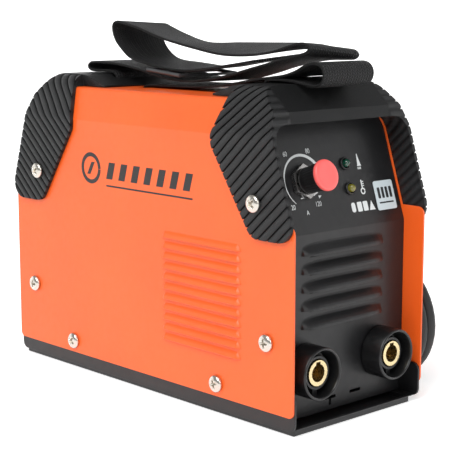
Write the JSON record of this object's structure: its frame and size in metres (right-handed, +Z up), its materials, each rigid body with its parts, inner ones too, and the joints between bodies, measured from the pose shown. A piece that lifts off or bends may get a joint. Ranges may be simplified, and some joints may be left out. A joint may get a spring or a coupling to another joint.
{
  "type": "stick welding inverter",
  "caption": "Portable stick welding inverter: folded orange steel cover, ribbed black bumpers, leaning control panel, output sockets and a webbing carry strap.",
  "frame": {"origin": "centre of the footprint on the ground, without the mains lead", "axes": "+Z up; the control panel and sockets face -Y; +X is the machine's right side as seen by someone facing the panel"},
  "size_m": [0.1582, 0.2994, 0.2049],
  "materials": {
    "cover_paint": "satin orange powder coat",
    "black_sheet": "fine-textured black powder coat",
    "bumper_plastic": "matt black moulded plastic with a fine grain",
    "screw_nickel": "bright nickel plate",
    "dark_metal": "plain steel can",
    "nut_nickel": "nickel plate",
    "shaft_metal": "turned steel",
    "knob_black": "satin black plastic",
    "knob_cap": "satin coral red plastic",
    "lamp_green": "clear dark green lens, unlit",
    "lamp_amber": "clear amber lens, unlit",
    "bezel_black": "black plastic",
    "label_grey": "printed light grey sticker",
    "socket_black": "satin black glass-filled plastic",
    "contact_brass": "turned brass",
    "copper": "tinned or enamelled copper",
    "circuit_board": "green solder resist",
    "heat_sink": "plain extruded aluminium",
    "ferrite": "sintered ferrite",
    "capacitor_sleeve": "black sleeve",
    "rectifier_black": "moulded black epoxy",
    "fan_black": "black moulded plastic",
    "grille_wire": "bright plated steel",
    "switch_black": "black plastic",
    "rocker": "black plastic",
    "gland_black": "black nylon",
    "cord_rubber": "matt black rubber",
    "plug_black": "matt black moulded rubber",
    "pin_metal": "nickel-plated brass",
    "strap_webbing": "black twill-woven webbing",
    "slider_plastic": "dark grey plastic"
  },
  "bodies": {
    "machine": {"cover": "cover_paint", "base_tray": "black_sheet", "front_panel": "black_sheet", "rear_panel": "black_sheet", "front_bumper": "bumper_plastic", "rear_bumper": "bumper_plastic", "screw_left_front_bumper": "screw_nickel", "screw_left_rear_bumper": "screw_nickel", "screw_left_front": "screw_nickel", "screw_left_rear": "screw_nickel", "screw_left_bottom_front": "screw_nickel", "screw_left_bottom_rear": "screw_nickel", "screw_right_front_bumper": "screw_nickel", "screw_right_rear_bumper": "screw_nickel", "screw_right_front": "screw_nickel", "screw_right_rear": "screw_nickel", "screw_right_bottom_front": "screw_nickel", "screw_right_bottom_rear": "screw_nickel", "pot_body": "dark_metal", "pot_nut": "nut_nickel", "socket_plus_nut": "nut_nickel", "socket_minus_nut": "nut_nickel", "led_green": "lamp_green", "led_amber": "lamp_amber", "led_green_bezel": "bezel_black", "led_amber_bezel": "bezel_black", "spec_label": "label_grey", "socket_plus_housing": "socket_black", "socket_minus_housing": "socket_black", "socket_plus_contact": "contact_brass", "socket_minus_contact": "contact_brass", "busbar_plus": "copper", "busbar_minus": "copper", "transformer_winding": "copper", "main_board": "circuit_board", "control_board": "circuit_board", "heat_sink_left": "heat_sink", "heat_sink_right": "heat_sink", "transformer_core": "ferrite", "capacitor_left": "capacitor_sleeve", "capacitor_right": "capacitor_sleeve", "bridge_rectifier": "rectifier_black", "fan_frame": "fan_black", "fan_grille": "grille_wire", "switch_housing": "switch_black", "cable_gland": "gland_black", "strain_relief": "gland_black", "power_cord": "cord_rubber", "power_cord_tail": "cord_rubber", "power_cord_coil": "cord_rubber", "plug_body": "plug_black", "plug_pin_left": "pin_metal", "plug_pin_right": "pin_metal", "strap": "strap_webbing", "strap_slider": "slider_plastic"},
    "current_knob": {"knob_body": "knob_black", "knob_cap": "knob_cap", "pot_shaft": "shaft_metal"},
    "power_rocker": {"switch_rocker": "rocker"},
    "fan_wheel": {"fan_rotor": "fan_black"}
  },
  "joints": [
    {"name": "knob_turn", "type": "hinge", "parent": "machine", "child": "current_knob", "pos_m": [-0.022, -0.09722, 0.12479], "axis": [0, -0.9511, 0.309], "range_deg": [-140, 140]},
    {"name": "rocker_tilt", "type": "hinge", "parent": "machine", "child": "power_rocker", "pos_m": [0, 0.09499, 0.13164], "axis": [1, 0, 0], "range_deg": [0, 20]},
    {"name": "fan_spin", "type": "hinge", "parent": "machine", "child": "fan_wheel", "pos_m": [-0.0085, 0.097, 0.058], "axis": [0, 1, 0], "continuous": true}
  ]
}
